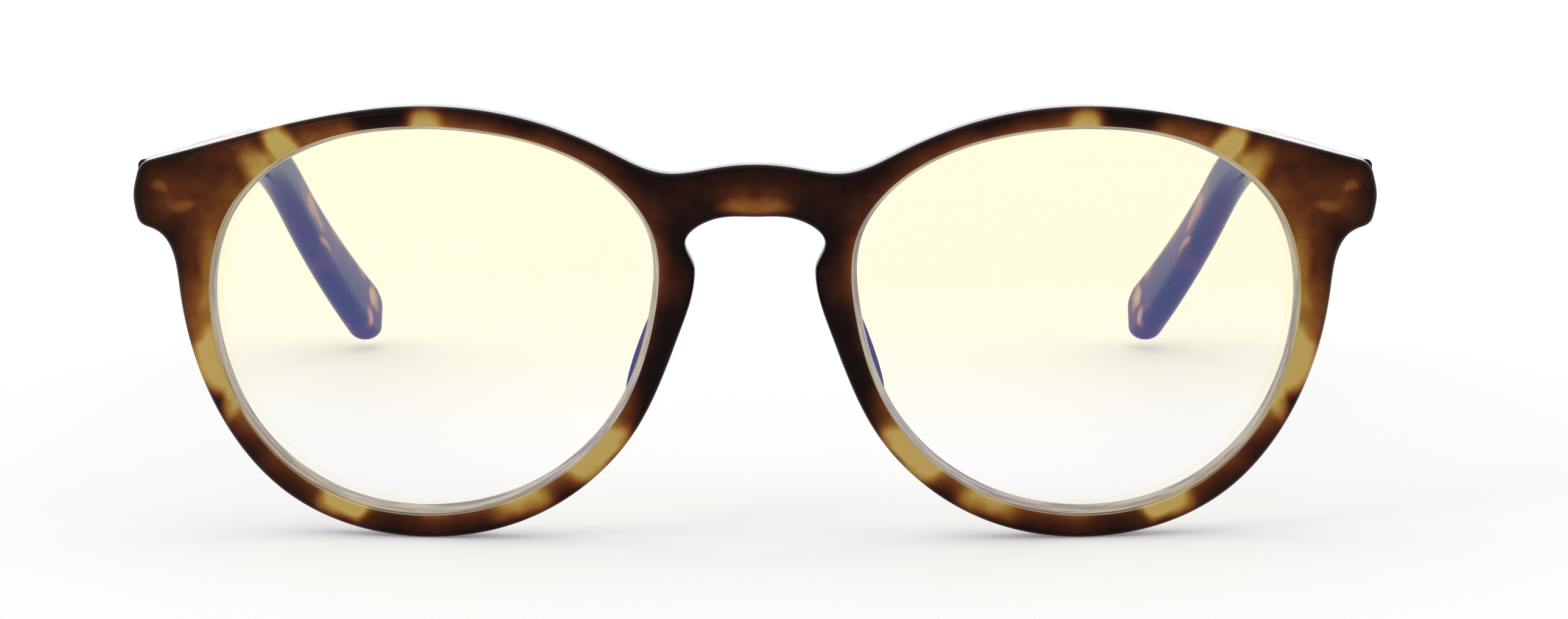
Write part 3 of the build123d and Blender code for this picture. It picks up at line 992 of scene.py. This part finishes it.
# The patches of the temples: how far along, how far up from the middle, half-length,
# half-height, and how much lighter or darker
TEMPLE_PATCHES = [
    (12, 2.6, 7, 1.6, 0.22),
    (27, -0.6, 9, 1.5, 0.44),
    (35, 2.2, 3.4, 1.4, 0.30),
    (49, 3.0, 8, 1.7, -0.22),
    (57, -2.4, 5, 1.3, 0.34),
    (69, 0.9, 7.5, 1.9, 0.50),
    (77, 2.6, 3.2, 1.2, 0.26),
    (90, -0.8, 8, 2.6, -0.20),
    (95, 2.4, 4.2, 1.0, 0.30),
    (103, -1.4, 4.5, 3.0, -0.20),
    (110.5, 0.0, 4.8, 1.3, 0.66),
    (116.5, -2.0, 3.2, 0.6, 0.50),
    (122, 3.0, 5, 1.6, 0.36),
    (130, 3.4, 4, 1.5, 0.42),
    (136.0, -2.6, 2.2, 1.5, 0.66),
    (137.6, 1.2, 2.4, 1.5, 0.66),
]

temple_acetate = bpy.data.materials.new("temple_acetate")
temple_acetate.use_nodes = True
nodes = Nodes(temple_acetate.node_tree)
place = nodes.add("ShaderNodeAttribute", attribute_name="along_temple").outputs["Vector"]
drift = nodes.vector("SUBTRACT", nodes.noise(place, 0.2, 1.5, 0.5, colour=True), (0.5, 0.5, 0.5))
blurred = nodes.vector("ADD", place, nodes.vector("MULTIPLY", drift, (2, 9, 3.4)))
tone = nodes.remap(nodes.noise(blurred, 0.09, 2, 0.5), 0.36, 0.64, 0.06, 0.36)
for along, up, half_length, half_height, strength in TEMPLE_PATCHES:
    mapping = nodes.add("ShaderNodeMapping", vector_type="TEXTURE")
    mapping.inputs["Location"].default_value = (0, along, up)
    mapping.inputs["Scale"].default_value = (1000, half_length, half_height)
    nodes.link(blurred, mapping.inputs["Vector"])
    distance = nodes.vector("LENGTH", mapping.outputs[0])
    tone = nodes.maths("ADD", tone, nodes.remap(distance, 1.45, 0.4, 0, strength))
grain = nodes.noise(place, 1.1, 2)
tone = nodes.maths("ADD", tone, nodes.remap(grain, 0.3, 0.7, -0.02, 0.02, smooth=False), True)
polished(temple_acetate, tone, nodes, place, 0.09)


def spine(s):
    """Y, Z and downward angle of the temple's middle line, s along it from the front end."""
    run = np.minimum(s, STRAIGHT_LENGTH)
    turn = np.clip((s - STRAIGHT_LENGTH) / EAR_RADIUS, 0, EAR_DROP)
    rest = np.maximum(0, s - STRAIGHT_LENGTH - EAR_RADIUS * EAR_DROP)
    angle = TEMPLE_SLOPE + turn
    y = TEMPLE_START_Y + run * math.cos(TEMPLE_SLOPE)
    z = TEMPLE_START_Z - run * math.sin(TEMPLE_SLOPE)
    y = y + EAR_RADIUS * (np.sin(angle) - math.sin(TEMPLE_SLOPE)) + rest * np.cos(angle)
    z = z - EAR_RADIUS * (math.cos(TEMPLE_SLOPE) - np.cos(angle)) - rest * np.sin(angle)
    return y, z, angle


def temple_section(half_thickness, half_height, radius, corner=8):
    """A rounded rectangle, its width across the temple and its height upright."""
    radius = min(radius, 0.97 * half_thickness, 0.97 * half_height)
    points = []
    for quarter, (sx, sz) in enumerate(((1, 1), (-1, 1), (-1, -1), (1, -1))):
        middle = (sx * (half_thickness - radius), sz * (half_height - radius))
        for t in np.linspace(0, math.pi / 2, corner):
            angle = quarter * math.pi / 2 + t
            points.append((middle[0] + radius * math.cos(angle), middle[1] + radius * math.sin(angle)))
    return np.array(points)


for name, side in SIDES.items():
    stations = np.r_[
        0, 0.03, 0.08, 0.16, 0.25, np.linspace(0.8, TEMPLE_LENGTH - TIP_ROUND, 230),
        TEMPLE_LENGTH - TIP_ROUND + TIP_ROUND * np.sin(np.linspace(0.08, 1.53, 18)),
    ]
    skin = Skin()
    rows = []
    marks = []
    for s in stations:
        half_height = np.interp(s, HEIGHT_STATIONS, HALF_HEIGHTS)
        half_thickness = np.interp(s, [0, 110, 139], [2.0, 2.0, 1.95])
        butt = BUTT_ROUND - math.sqrt(max(0.0, BUTT_ROUND**2 - max(0.0, BUTT_ROUND - s) ** 2))
        past = np.clip((s - TEMPLE_LENGTH + TIP_ROUND) / TIP_ROUND, 0, 1)
        thin = np.clip((s - TEMPLE_LENGTH + TIP_THICKNESS_ROUND) / TIP_THICKNESS_ROUND, 0, 1)
        half_height = (half_height - butt) * math.sqrt(max(1e-4, 1 - past**2))
        half_thickness = (half_thickness - butt) * math.sqrt(max(1e-4, 1 - thin**2))
        radius = np.interp(s, [0, 12, 30], [BUTT_CORNER, BUTT_CORNER, TEMPLE_ROUND])
        section = temple_section(half_thickness, half_height, radius)
        y, z, angle = spine(s)
        f = s / TEMPLE_LENGTH
        x = TEMPLE_X + OUTWARD_BOW * f - INWARD_CURVE * f**3
        rows.append(skin.row(np.column_stack([
            side * (x + section[:, 0]),
            y + section[:, 1] * math.sin(angle),
            z + section[:, 1] * math.cos(angle),
        ])))
        marks.append(np.column_stack([section[:, 0], np.full(len(section), s), section[:, 1]]))
    for a, b in zip(rows, rows[1:]):
        skin.strip(a, b)
    for row in (rows[0], rows[-1]):
        skin.fan(row, skin.vertices()[row].mean(0))
    marks += [[(0, 0, 0)], [(0, TEMPLE_LENGTH, 0)]]
    piece(
        f"temple_{name}_polished", skin.vertices(), skin.faces, [temple_acetate], f"{name}_arm",
        f"temple_{name}", {"along_temple": np.vstack(marks)},
    )


# Studio: a flat pale floor, a bright even surround and soft lamps above, in front and behind.
floor_material = bpy.data.materials.new("pale_floor")
floor_material.use_nodes = True
nodes = Nodes(floor_material.node_tree)
shader = floor_material.node_tree.nodes["Principled BSDF"]
shader.inputs["Base Color"].default_value = (0.8, 0.8, 0.8, 1)
shader.inputs["Roughness"].default_value = 0.7
shader.inputs["Specular IOR Level"].default_value = 0.2
shader.inputs["Emission Color"].default_value = (1, 1, 1, 1)
shader.inputs["Emission Strength"].default_value = 0.2

floor_mesh = bpy.data.meshes.new("floor")
FLOOR = 3.0
floor_mesh.from_pydata(
    [(-FLOOR, -FLOOR, 0), (FLOOR, -FLOOR, 0), (FLOOR, FLOOR, 0), (-FLOOR, FLOOR, 0)],
    [], [(0, 1, 2, 3)],
)
floor_mesh.materials.append(floor_material)
floor = bpy.data.objects.new("floor", floor_mesh)
bpy.context.scene.collection.objects.link(floor)

world = bpy.data.worlds.new("surround")
world.use_nodes = True
world.node_tree.nodes["Background"].inputs["Color"].default_value = (1, 1, 1, 1)
world.node_tree.nodes["Background"].inputs["Strength"].default_value = 0.85
bpy.context.scene.world = world
bpy.context.scene.view_settings.view_transform = "Standard"


def soft_lamp(name, place, aim, width, height, power):
    """An area lamp at one place, turned to face another."""
    data = bpy.data.lights.new(name, "AREA")
    data.shape = "RECTANGLE"
    data.size = width
    data.size_y = height
    data.energy = power
    lamp = bpy.data.objects.new(name, data)
    lamp.location = place
    lamp.rotation_euler = (Vector(aim) - Vector(place)).to_track_quat("-Z", "Y").to_euler()
    lamp.visible_camera = False
    bpy.context.scene.collection.objects.link(lamp)


soft_lamp("overhead", (0, 0.15, 0.7), (0, 0, 0.02), 0.6, 0.6, 0.4)
soft_lamp("front_left", (-0.5, -0.5, 0.7), (0, -0.05, 0.03), 0.3, 0.3, 0.6)
soft_lamp("backdrop", (0, 1.1, 0.26), (0, 0, 0.04), 1.5, 0.45, 2.3)
